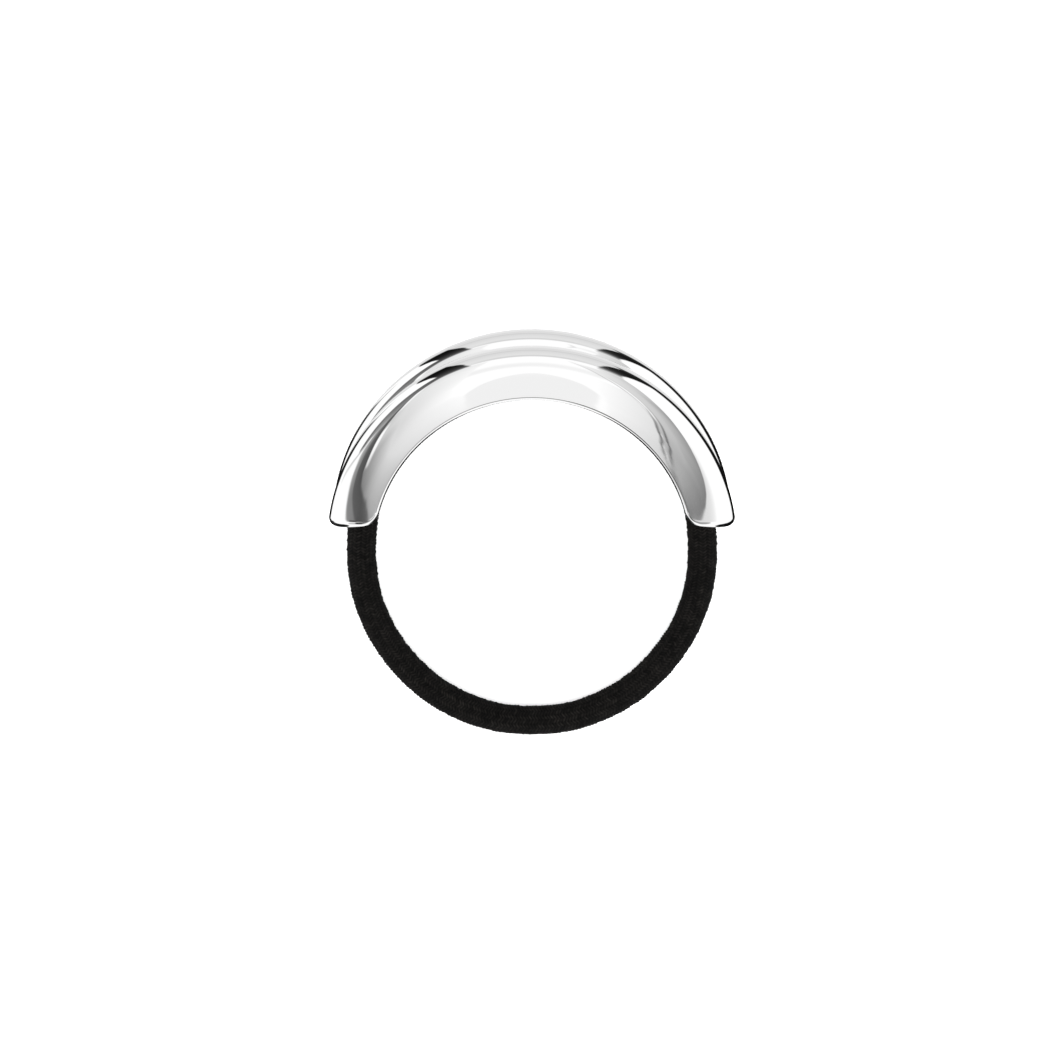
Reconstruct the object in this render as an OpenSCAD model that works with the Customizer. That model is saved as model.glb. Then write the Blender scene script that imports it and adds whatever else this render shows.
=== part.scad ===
// Ponytail cuff: a half ring of thin polished metal with two rounded ribs, on a loop of elastic cord.
// The ring lies on its side. Its axis is +Z, the metal half is towards +Y, and Z = 0 is the surface it lies on.
// The origin is at the middle of the whole outline, on that surface.

/* [Cuff] */
// Outside diameter of the half ring, over the crests of its ribs
cuff_d = 55; // [54:0.5:58]
// Clear diameter between the rounded lips
lip_d = 42.1; // [41:0.1:43]
// Width of the cuff along the ring's axis
cuff_w = 20; // [19:0.5:21]
// Distance from the crest of one rib to the crest of the other
rib_spacing = 11.6; // [11:0.1:12]
// Outside radius of the valley between the ribs
valley_r = 4; // [3.6:0.1:4.5]
// Thickness of the metal
wall = 1; // [0.8:0.1:1.1]
// Height of the cut ends above the ring's axis
end_rise = 3.9; // [3:0.1:5]
// Radius of the rounded inner corners of the ends
corner_r = 2.6; // [1:0.1:3]

/* [Pins] */
// Angle of each pin from the middle of the cuff
pin_angle = 40; // [30:5:60]
// Diameter of a pin
pin_d = 0.8; // [0.6:0.1:0.8]

/* [Elastic] */
// Diameter of the elastic cord
cord_d = 4; // [3.8:0.1:4]
// Diameter of the cord where the crimp squeezes it
squeezed_d = 3.4; // [3:0.1:3.4]

/* [Crimp] */
// Outside diameter of the crimp
crimp_d = 4.3; // [4.2:0.1:4.3]
// Play of the squeezed cord in the crimp, on the diameter
crimp_play = 0.3; // [0.2:0.1:0.3]
// Length of the crimp, as an angle round the ring
crimp_span = 22; // [16:1:26]

/* [Hidden] */
$fn = 96;

crest_r = cuff_d / 2;
half_w = cuff_w / 2;
rib_z = rib_spacing / 2;
rib_r = half_w - rib_z;
rib_ring_r = crest_r - rib_r;
lip_ring_r = (lip_d + wall) / 2;
// The valley's circle touches both ribs' circles from outside
valley_ring_r = rib_ring_r + sqrt(pow(rib_r + valley_r, 2) - pow(rib_z, 2));
// Angle from the ring's radius at which rib and valley meet
meet_angle = asin(rib_z / (rib_r + valley_r));
crimp_bore = squeezed_d + crimp_play;

// The cord's route on the +X side in the channel: it lies in the lower rib's hollow and passes outside the pin.
// The first row is the cord's end in the crimp.
CHANNEL_ROUTE = [
    // angle from +X, radius from the ring's axis, height above the surface
    [89, 23.7, 3.5],
    [77, 23.7, 3.5],
    [64, 23.9, 3.5],
    [50, 24.1, 3.5],
    [36, 24.0, 3.4],
    [23, 23.6, 3.3],
    [10, 23.0, 3.2]
];
// The free half of the cord on the +X side, from the cuff's end to the far point, where it lies on the surface
FREE_ROUTE = [
    // X and Y from the ring's axis, height above the surface
    [23.4, -0.4, 2.9],
    [23.6, -5.6, 2.35],
    [22.9, -10.8, 2.05],
    [21.1, -15.6, 2.0],
    [18.3, -19.9, 2.0],
    [14.6, -23.7, 2.0],
    [10.2, -26.5, 2.0],
    [5.2, -28.3, 2.0],
    [0, -28.8, 2.0]
];
cord_sides = 12;
steps_between_points = 2;

// The outline's middle is the origin, so the ring's axis is set off from it
far_y = -FREE_ROUTE[len(FREE_ROUTE) - 1].y + cord_d / 2;
axis_y = (far_y - crest_r) / 2;

// A slice of an annulus in the section plane: part of a wall bent round a point
module bent_wall(mid_r, from_angle, to_angle) {
    reach = 2 * mid_r;
    intersection() {
        difference() {
            circle(mid_r + wall / 2);
            circle(mid_r - wall / 2);
        }
        polygon([[0, 0], for (a = [from_angle, (from_angle + to_angle) / 2, to_angle]) reach * [cos(a), sin(a)]]);
    }
}

// Half of the cuff's section, from the valley's middle to the lip: X is the ring's radius, Y its axis
module half_section() {
    translate([valley_ring_r, 0])
        bent_wall(valley_r + wall / 2, 180 - meet_angle, 180);
    translate([rib_ring_r, rib_z])
        bent_wall(rib_r - wall / 2, -meet_angle, 90);
    translate([lip_ring_r, half_w - wall])
        square([rib_ring_r - lip_ring_r, wall]);
    translate([lip_ring_r, half_w - wall / 2])
        intersection() {
            circle(d = wall);
            translate([-wall, -wall])
                square([wall, 2 * wall]);
        }
}

// Both halves of the section
module cuff_section() {
    half_section();
    mirror([0, 1])
        half_section();
}

// What the rounded inner corner of the +X end leaves away, seen along the ring's axis. Its arc starts just inside
// the lips, so that it cuts them clear through.
module corner_waste() {
    below = 1;
    arc_start_r = lip_d / 2 - 0.15;
    centre_y = end_rise + corner_r;
    centre_x = sqrt(pow(arc_start_r + corner_r, 2) - pow(centre_y, 2));
    inward = -2 * corner_r * [centre_x, centre_y] / norm([centre_x, centre_y]);
    difference() {
        polygon([
            [centre_x, end_rise - below],
            [centre_x, centre_y],
            [centre_x, centre_y] + inward,
            [centre_x + inward.x, end_rise - below]
        ]);
        translate([centre_x, centre_y])
            circle(corner_r);
    }
}

// Outline of the kept half, seen along the ring's axis
module cuff_front() {
    difference() {
        translate([-cuff_d, end_rise])
            square([2 * cuff_d, cuff_d]);
        corner_waste();
        mirror([1, 0])
            corner_waste();
    }
}

// Puts what is built round the ring's axis where the ring lies
module on_ring() {
    translate([0, axis_y, half_w])
        children();
}

module cuff() {
    color("silver")
        on_ring() {
            intersection() {
                rotate_extrude()
                    cuff_section();
                translate([0, 0, -cuff_w])
                    linear_extrude(2 * cuff_w)
                        cuff_front();
            }
            // Each pin runs from the middle of one lip to the middle of the other
            for (side = [-1, 1])
                rotate([0, 0, 90 + side * pin_angle])
                    translate([lip_ring_r, 0, 0])
                        cylinder(d = pin_d, h = cuff_w - wall, center = true);
        }
}

// The cord's middle line: down the +X side to the far point, and back up the other side
half_route = concat([for (row = CHANNEL_ROUTE) [row[1] * cos(row[0]), row[1] * sin(row[0]), row[2]]], FREE_ROUTE);
function mirrored(points) = [for (i = [len(points) - 2:-1:0]) [-points[i].x, points[i].y, points[i].z]];
route = concat(half_route, mirrored(half_route));

// Catmull-Rom curve through the route's points
function route_at(i) = route[max(0, min(len(route) - 1, i))];
function curve_point(i, t) =
    let (a = route_at(i - 1), b = route_at(i), c = route_at(i + 1), d = route_at(i + 2))
    0.5 * (2 * b + (c - a) * t + (2 * a - 5 * b + 4 * c - d) * t * t + (3 * b - a - 3 * c + d) * t * t * t);
curve = concat(
    [for (i = [0:len(route) - 2], k = [0:steps_between_points - 1]) curve_point(i, k / steps_between_points)],
    [route[len(route) - 1]]
);

// The cord is thinner to just past the crimp's end, and full size a few degrees further
squeeze_end = crimp_span / 2 + 1;
squeeze_run = 5;
function angle_off_top(p) = abs(atan2(p.x, p.y));
function cord_radius(p) =
    let (t = max(0, min(1, (angle_off_top(p) - squeeze_end) / squeeze_run)))
    (squeezed_d + (cord_d - squeezed_d) * t * t * (3 - 2 * t)) / 2;

// One ring of the tube: its plane is square to the middle line
function tube_ring(i) =
    let (
        p = curve[i],
        along = curve[min(len(curve) - 1, i + 1)] - curve[max(0, i - 1)],
        across = cross(along, [0, 0, 1]),
        side = across / norm(across),
        up_raw = cross(side, along),
        up = up_raw / norm(up_raw)
    )
    [for (k = [0:cord_sides - 1])
        let (a = 360 * k / cord_sides)
        p + cord_radius(p) * (cos(a) * side + sin(a) * up)];

module elastic() {
    rings = len(curve);
    points = [for (i = [0:rings - 1]) each tube_ring(i)];
    walls = [for (i = [0:rings - 2], k = [0:cord_sides - 1])
        let (n = (k + 1) % cord_sides, a = i * cord_sides, b = a + cord_sides)
        each [[a + k, b + k, b + n], [a + k, b + n, a + n]]];
    start = [for (k = [0:cord_sides - 1]) k];
    end = [for (k = [cord_sides - 1:-1:0]) (rings - 1) * cord_sides + k];
    color([0.08, 0.08, 0.08])
        translate([0, axis_y, 0])
            polyhedron(points, concat([start], walls, [end]));
}

// A round sleeve bent to the ring, where the cord's ends meet
module crimp() {
    color("gainsboro")
        translate([0, axis_y, CHANNEL_ROUTE[0][2]])
            rotate([0, 0, 90 - crimp_span / 2])
                rotate_extrude(angle = crimp_span)
                    translate([CHANNEL_ROUTE[0][1], 0])
                        difference() {
                            circle(d = crimp_d);
                            circle(d = crimp_bore);
                        }
}

cuff();
elastic();
crimp();
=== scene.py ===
"""Ponytail cuff: a mirror-polished half ring with two rounded ribs on a loop of knitted black elastic.

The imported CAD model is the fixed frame. Every shape here is worked out with numpy in that frame and takes the
place of the CAD node that it dresses. Sizes are in millimetres, and make_piece turns them into metres.
"""

import logging
import math
from collections.abc import Sequence
from dataclasses import dataclass, field
from enum import Enum

import bpy
import numpy as np
from mathutils import Matrix, Vector


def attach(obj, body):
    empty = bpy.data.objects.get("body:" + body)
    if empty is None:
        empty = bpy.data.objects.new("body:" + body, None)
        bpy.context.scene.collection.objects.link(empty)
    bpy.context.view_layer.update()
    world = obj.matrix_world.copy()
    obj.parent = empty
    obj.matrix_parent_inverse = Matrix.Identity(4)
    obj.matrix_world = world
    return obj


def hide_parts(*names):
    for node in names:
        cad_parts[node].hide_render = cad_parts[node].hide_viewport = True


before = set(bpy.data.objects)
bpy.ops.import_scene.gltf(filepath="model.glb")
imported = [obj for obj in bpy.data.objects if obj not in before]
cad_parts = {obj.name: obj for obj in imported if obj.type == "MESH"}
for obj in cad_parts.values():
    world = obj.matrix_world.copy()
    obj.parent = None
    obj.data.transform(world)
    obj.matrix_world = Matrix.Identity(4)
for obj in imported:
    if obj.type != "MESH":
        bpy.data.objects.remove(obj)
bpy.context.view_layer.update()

LOG = logging.getLogger("ponytail_cuff")
MM = 0.001
# The ring's axis lies this far along +Y from the origin, and its middle plane this high
AXIS_Y = 1.65
MID_Z = 10.0


def linear_light(srgb: np.ndarray) -> np.ndarray:
    """Turns sRGB values into linear light: a twelfth when small, and otherwise very nearly the power 2.4.

    Args:
        srgb: Values from 0 to 255.

    Returns:
        Linear values from 0 to 1.
    """
    value = srgb / 255
    return np.where(value <= 0.04045, value / 12.92, ((value + 0.055) / 1.055) ** 2.4)


def linear(hex_colour: str) -> tuple[float, float, float, float]:
    """Turns an sRGB colour into the linear values that a shader takes.

    Args:
        hex_colour: The colour as "#rrggbb".

    Returns:
        Linear red, green, blue and full alpha.
    """
    channels = np.array([int(hex_colour[i : i + 2], 16) for i in (1, 3, 5)])
    return (*linear_light(channels).tolist(), 1.0)


def add_node(
    tree: bpy.types.NodeTree,
    kind: str,
    inputs: dict[str | int, object] | None = None,
    settings: dict[str, object] | None = None,
) -> bpy.types.Node:
    """Adds one shader node.

    Args:
        tree: The node tree that takes it.
        kind: The node's type name.
        inputs: Values or output sockets by input name or number.
        settings: The node's own properties by name.

    Returns:
        The new node.
    """
    node = tree.nodes.new(kind)
    for name, value in (settings or {}).items():
        setattr(node, name, value)
    for key, value in (inputs or {}).items():
        if isinstance(value, bpy.types.NodeSocket):
            tree.links.new(value, node.inputs[key])
        else:
            node.inputs[key].default_value = value
    return node


def new_material(name: str) -> tuple[bpy.types.Material, bpy.types.NodeTree]:
    """Makes an empty node material.

    Args:
        name: The material's plain name.

    Returns:
        The material and its cleared node tree.
    """
    material = bpy.data.materials.new(name)
    material.use_nodes = True
    material.node_tree.nodes.clear()
    return material, material.node_tree


def grid_quads(rows: int, columns: int, ring: bool = False) -> np.ndarray:
    """Numbers the four-cornered faces of a grid of points stored row by row.

    Args:
        rows: How many rows of points.
        columns: How many points in each row.
        ring: Whether the last column joins the first.

    Returns:
        One row of four point numbers per face: (r, c), (r, c + 1), (r + 1, c + 1), (r + 1, c).
    """
    across = columns if ring else columns - 1
    row, here = np.meshgrid(np.arange(rows - 1), np.arange(across), indexing="ij")
    after = (here + 1) % columns
    this, below = row * columns, (row + 1) * columns
    return np.stack([this + here, this + after, below + after, below + here], -1).reshape(-1, 4)


def make_piece(
    name: str,
    points: np.ndarray,
    quads: np.ndarray,
    materials: Sequence[bpy.types.Material],
    face_material: np.ndarray | None = None,
    corner_uv: np.ndarray | None = None,
) -> bpy.types.Object:
    """Puts arrays into a smooth-shaded mesh object that sits at the origin.

    Args:
        name: The object's name.
        points: One row of X, Y, Z in millimetres per point, in the row frame.
        quads: One row of four point numbers per face. A repeated last number makes a triangle.
        materials: The materials, in slot order.
        face_material: The slot of each face, or None for the first.
        corner_uv: One U, V pair per face corner, or None.

    Returns:
        The new object, linked to the scene.
    """
    sizes = np.where(quads[:, 2] == quads[:, 3], 3, 4)
    corners = quads[np.arange(4)[None, :] < sizes[:, None]]
    mesh = bpy.data.meshes.new(name)
    mesh.vertices.add(len(points))
    mesh.vertices.foreach_set("co", (np.asarray(points, float) * MM).ravel())
    mesh.loops.add(len(corners))
    mesh.loops.foreach_set("vertex_index", corners.astype(np.int32))
    mesh.polygons.add(len(quads))
    starts = np.concatenate([[0], np.cumsum(sizes)[:-1]])
    mesh.polygons.foreach_set("loop_start", starts.astype(np.int32))
    mesh.polygons.foreach_set("use_smooth", np.ones(len(quads), bool))
    if face_material is not None:
        mesh.polygons.foreach_set("material_index", face_material.astype(np.int32))
    if corner_uv is not None:
        layer = mesh.uv_layers.new(name="millimetres")
        layer.data.foreach_set("uv", corner_uv.astype(np.float32).ravel())
    for material in materials:
        mesh.materials.append(material)
    mesh.validate()
    mesh.update()
    piece = bpy.data.objects.new(name, mesh)
    bpy.context.scene.collection.objects.link(piece)
    return piece


def smooth_step(x: np.ndarray) -> np.ndarray:
    """Eases from 0 to 1 as x goes from 0 to 1: 3 x squared less 2 x cubed, held outside."""
    held = np.clip(x, 0, 1)
    return held * held * (3 - 2 * held)


def unit(vectors: np.ndarray) -> np.ndarray:
    """Scales each row to length one."""
    return vectors / np.linalg.norm(vectors, axis=1, keepdims=True)


def full_turn(count: int) -> np.ndarray:
    """Spaces angles evenly round a full turn, in radians."""
    return np.linspace(0, 2 * math.pi, count, endpoint=False)


@dataclass(frozen=True)
class MetalFinish:
    """What the metals share: a colour, a gloss that varies with a pattern, and a bump.

    The roughness at the two ends of the gloss pattern's range is the metal's own times the two spreads.
    """

    colour: str = "#dddddd"
    roughness: float = 0.3
    pattern_range: tuple[float, float] = (0.0, 1.0)
    gloss_spread: tuple[float, float] = (1.0, 1.0)
    bump_strength: float = 1.0
    bump_depth_mm: float = 0.02

    def _surface(self, tree: bpy.types.NodeTree, pattern: bpy.types.Node, relief: bpy.types.Node) -> None:
        """Adds the metal itself to a material, over its patterns.

        Args:
            tree: The material's node tree.
            pattern: The noise that the roughness follows.
            relief: The noise that stands in the surface as a bump.
        """
        gloss = add_node(
            tree,
            "ShaderNodeMapRange",
            {
                "Value": pattern.outputs["Fac"],
                "From Min": self.pattern_range[0],
                "From Max": self.pattern_range[1],
                "To Min": self.roughness * self.gloss_spread[0],
                "To Max": self.roughness * self.gloss_spread[1],
            },
        )
        bump = add_node(
            tree,
            "ShaderNodeBump",
            {
                "Strength": self.bump_strength,
                "Distance": self.bump_depth_mm * MM,
                "Height": relief.outputs["Fac"],
            },
        )
        metal = add_node(
            tree,
            "ShaderNodeBsdfPrincipled",
            {
                "Base Color": linear(self.colour),
                "Metallic": 1.0,
                "Roughness": gloss.outputs["Result"],
                "Normal": bump.outputs["Normal"],
            },
        )
        add_node(tree, "ShaderNodeOutputMaterial", {"Surface": metal.outputs["BSDF"]})


@dataclass(frozen=True)
class PolishedPlate(MetalFinish):
    """Bright silver plate over brass, buffed to a mirror.

    To the eye it is all reflections: white studio walls, crisp black bars, and a faint ripple from buffing.
    """

    colour: str = "#f7f7f7"
    roughness: float = 0.03
    pattern_range: tuple[float, float] = (0.35, 0.75)
    gloss_spread: tuple[float, float] = (0.6, 1.5)
    bump_depth_mm: float = 0.0006
    haze_mm: float = 6.0
    ripple_mm: float = 2.5

    def material(self) -> bpy.types.Material:
        """Builds the mirror finish: a slow buffing ripple as bump and faint haze in the gloss.

        Returns:
            The new material.
        """
        material, tree = new_material("polished_silver_plate")
        place = add_node(tree, "ShaderNodeTexCoord")
        haze, ripple = (
            add_node(
                tree,
                "ShaderNodeTexNoise",
                {"Vector": place.outputs["Object"], "Scale": 1 / (size * MM), "Detail": detail},
            )
            for size, detail in ((self.haze_mm, 3.0), (self.ripple_mm, 1.0))
        )
        self._surface(tree, haze, ripple)
        return material


@dataclass(frozen=True)
class TumbledPlate(MetalFinish):
    """The same silver plate as it comes from the tumbling barrel, not buffed, on the hollow side.

    To the eye it is a soft satin with fine random scratches.
    """

    colour: str = "#dcdcda"
    roughness: float = 0.24
    gloss_spread: tuple[float, float] = (0.7, 1.3)
    bump_strength: float = 0.25
    scratch_mm: float = 0.35

    def material(self) -> bpy.types.Material:
        """Builds the satin finish: fine scratches as bump and in the gloss.

        Returns:
            The new material.
        """
        material, tree = new_material("tumbled_silver_plate")
        place = add_node(tree, "ShaderNodeTexCoord")
        grain = add_node(
            tree,
            "ShaderNodeTexNoise",
            {"Vector": place.outputs["Object"], "Scale": 1 / (self.scratch_mm * MM), "Detail": 4.0},
        )
        self._surface(tree, grain, grain)
        return material


@dataclass(frozen=True)
class KnittedPolyester:
    """Textured black polyester knitted round a rubber core.

    To the eye it is a deep black that hardly shines, with rows of tiny V stitches. The gaps between them are
    darkened with painted shade, so the thread crowns look lighter.
    """

    # The gap colour is painted shade: the same black yarn, darkened where the gaps between stitches lie in shade
    gap_shade: str = "#030303"
    thread: str = "#242220"
    roughness: float = 0.9
    specular: float = 0.04
    sheen: float = 0.012
    sheen_roughness: float = 0.5
    stitch_mm: float = 0.44
    zigzags_round: int = 10
    # Fibres are far finer than this, so they are drawn as coarse as they need to show
    fibres_per_mm: float = 7.0
    fibre_height_mm: float = 0.05
    fibre_strength: float = 0.6
    patches_per_mm: float = 0.6
    gap_shade_until: float = 0.02
    thread_from: float = 0.42

    def material(self) -> bpy.types.Material:
        """Builds the yarn: painted shade in the gaps and lighter thread crowns from the stitch attribute, with
        fibres.

        Returns:
            The new material.
        """
        material, tree = new_material("knitted_black_polyester")
        place = add_node(tree, "ShaderNodeUVMap", settings={"uv_map": "millimetres"})
        stitch = add_node(tree, "ShaderNodeAttribute", settings={"attribute_name": "stitch"})
        fibres, worn = (
            add_node(
                tree,
                "ShaderNodeTexNoise",
                {"Vector": place.outputs["UV"], "Scale": per_mm, "Detail": 3.0},
            )
            for per_mm in (self.fibres_per_mm, self.patches_per_mm)
        )
        product = {"operation": "MULTIPLY"}
        factors = {0: fibres.outputs["Fac"], 1: worn.outputs["Fac"]}
        patchy = add_node(tree, "ShaderNodeMath", factors, product)
        factors = {0: stitch.outputs["Fac"], 1: patchy.outputs["Value"]}
        crown = add_node(tree, "ShaderNodeMath", factors, product)
        # Painted shade: the colour runs from the gap colour in the gaps to the thread colour on the crowns
        shade = add_node(tree, "ShaderNodeValToRGB", {"Fac": crown.outputs["Value"]})
        stops = ((self.gap_shade_until, self.gap_shade), (self.thread_from, self.thread))
        for element, (position, colour) in zip(shade.color_ramp.elements, stops):
            element.position = position
            element.color = linear(colour)
        bump = add_node(
            tree,
            "ShaderNodeBump",
            {
                "Strength": self.fibre_strength,
                "Distance": self.fibre_height_mm * MM,
                "Height": fibres.outputs["Fac"],
            },
        )
        yarn = add_node(
            tree,
            "ShaderNodeBsdfPrincipled",
            {
                "Base Color": shade.outputs["Color"],
                "Roughness": self.roughness,
                "Specular IOR Level": self.specular,
                "Sheen Weight": self.sheen,
                "Sheen Roughness": self.sheen_roughness,
                "Normal": bump.outputs["Normal"],
            },
        )
        add_node(tree, "ShaderNodeOutputMaterial", {"Surface": yarn.outputs["BSDF"]})
        return material


@dataclass(frozen=True)
class PressedSteel(MetalFinish):
    """Nickel-plated steel strip, rolled into a sleeve and pressed shut on the cord's ends.

    To the eye it is a plain grey metal with drawing lines round it, duller than the cuff.
    """

    colour: str = "#b9b8b4"
    roughness: float = 0.32
    gloss_spread: tuple[float, float] = (0.7, 1.4)
    bump_strength: float = 0.3
    line_mm: float = 0.12
    line_length_mm: float = 5.0

    def material(self) -> bpy.types.Material:
        """Builds the drawn steel, whose gloss and bump run in fine lines round the sleeve.

        Returns:
            The new material.
        """
        material, tree = new_material("nickel_plated_steel")
        place = add_node(tree, "ShaderNodeTexCoord")
        fine, long = 1 / (self.line_mm * MM), 1 / (self.line_length_mm * MM)
        squeeze = add_node(
            tree,
            "ShaderNodeMapping",
            {"Vector": place.outputs["Object"], "Scale": (fine, long, long)},
        )
        lines = add_node(
            tree,
            "ShaderNodeTexNoise",
            {"Vector": squeeze.outputs["Vector"], "Scale": 1.0, "Detail": 3.0},
        )
        self._surface(tree, lines, lines)
        return material


@dataclass(frozen=True)
class SectionSizes:
    """Sizes of the cuff's section, in millimetres.

    They are the CAD model's, but for the dome: the lean of the buffed flat in degrees, as the factors of
    the square, of the distance and of one, with the distance from the lip counted in dome runs.
    """

    crest_r: float = 27.5
    half_w: float = 10.0
    rib_z: float = 5.8
    valley_r: float = 4.0
    wall: float = 1.0
    lip_clear_d: float = 42.1
    dome_lean: tuple[float, float, float] = (1.6, 1.3, -0.55)
    dome_run: float = 1.7
    valley_steps: int = 12
    rib_steps: int = 52
    flat_steps: int = 18

    @property
    def rib_r(self) -> float:
        """Outside radius of a rib."""
        return self.half_w - self.rib_z

    @property
    def rib_ring_r(self) -> float:
        """Distance of a rib's middle from the ring's axis."""
        return self.crest_r - self.rib_r

    @property
    def lip_ring_r(self) -> float:
        """Distance of a lip's middle from the ring's axis."""
        return (self.lip_clear_d + self.wall) / 2

    @property
    def valley_ring_r(self) -> float:
        """Distance of the valley's middle from the axis, where its circle touches both ribs' circles."""
        return self.rib_ring_r + math.sqrt((self.rib_r + self.valley_r) ** 2 - self.rib_z**2)

    @property
    def meet_angle(self) -> float:
        """Angle from the ring's radius at which rib and valley meet, in radians."""
        return math.asin(self.rib_z / (self.rib_r + self.valley_r))

    def middle(self) -> tuple[np.ndarray, np.ndarray]:
        """Traces the middle of the wall from the lower lip's middle to the upper one's.

        The valley and the rib are arcs: a middle plus a radius times the cosine and sine of an even run of
        angles. The flat runs in to the lip with steps that shrink as the square, so that the rounded corner
        is finely cut. Buffing leaves the flat very slightly domed. Its lean is a square curve of the
        distance from the lip: below nothing at the lip, and more than the rib's own lean where the two
        meet. The height rises inwards by the lean times the run, and the section is then drawn in to its
        true height.

        Returns:
            Points as distance from the ring's axis and height over the middle plane, and their outward
            normals.
        """
        top = self.half_w - self.wall / 2
        dip = math.pi - np.linspace(0, self.meet_angle, self.valley_steps + 1)
        bow = np.linspace(-self.meet_angle, math.pi / 2, self.rib_steps + 1)[1:]
        shrinking = np.linspace(1, 0, self.flat_steps + 1)[1:] ** 2
        run = self.lip_ring_r + (self.rib_ring_r - self.lip_ring_r) * shrinking
        valley = np.stack([np.cos(dip), np.sin(dip)], 1)
        rib = np.stack([np.cos(bow), np.sin(bow)], 1)
        half = np.concatenate(
            [
                valley * (self.valley_r + self.wall / 2) + [self.valley_ring_r, 0],
                rib * (self.rib_r - self.wall / 2) + [self.rib_ring_r, self.rib_z],
                np.stack([run, np.full(run.size, top)], 1),
            ]
        )
        out, over = np.concatenate([-valley, rib, np.tile([0.0, 1.0], (run.size, 1))]).T
        dome = np.radians(np.polyval(self.dome_lean, (half[:, 0] - self.lip_ring_r) / self.dome_run))
        own = np.arcsin(np.clip(out, -1, 1))
        lean = np.where(own > 0, np.maximum(dome - own, 0), dome) * (half[:, 1] > self.half_w - self.wall)
        half[1:, 1] += np.cumsum((lean[1:] + lean[:-1]) / 2 * (half[:-1, 0] - half[1:, 0]))
        half[:, 1] *= top / half[:, 1].max()
        cos, sin = np.cos(lean), np.sin(lean)
        facing = np.stack([out * cos + over * sin, over * cos - out * sin], 1)
        down = [1, -1]
        return np.concatenate([half[:0:-1] * down, half]), np.concatenate([facing[:0:-1] * down, facing])


@dataclass(frozen=True)
class EndSizes:
    """How the cuff's ends are cut, curled and rounded, in millimetres and degrees.

    The cut and its corners are the CAD model's. The drop at the crests and the curl follow the photograph.
    """

    rise: float = 3.9
    crest_drop: float = 0.4
    corner_r: float = 2.6
    curl_r: float = 0.8
    crest_curl: float = 36.0
    flank_curl: float = 10.0
    lip_curl: float = 2.0
    lip_run: float = 1.0
    rows: int = 12

    def start_angle(self, ring_r: np.ndarray, lip_ring_r: float, bead: float) -> np.ndarray:
        """Gives the angle round the ring at which the wall's middle starts, a bead in from the outline.

        Outside the corner it is the angle whose sine is the height over the radius, and the height falls a
        little towards the crests, where the bent ends reach lowest. Inside the corner it is that of the
        corner's middle, less the angle at the axis in the triangle of the ring's radius, the middle's
        distance and the corner's radius. The corner touches both the lip's circle and the straight end.

        Args:
            ring_r: Distances from the ring's axis.
            lip_ring_r: Distance of a lip's middle from the axis.
            bead: Radius of the rounded edge.

        Returns:
            Angles from +X, in radians.
        """
        height, corner = self.rise + bead, self.corner_r - bead
        reach = lip_ring_r + corner
        middle_x = math.sqrt(reach**2 - (height + corner) ** 2)
        cosine = (ring_r**2 + reach**2 - corner**2) / (2 * ring_r * reach)
        rounded = math.asin((height + corner) / reach) - np.arccos(np.clip(cosine, -1, 1))
        near_crest = smooth_step((ring_r - middle_x) / (ring_r.max() - middle_x))
        straight = np.arcsin((height - self.crest_drop * near_crest) / ring_r)
        return np.where(ring_r * np.cos(straight) < middle_x, rounded, straight)


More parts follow.
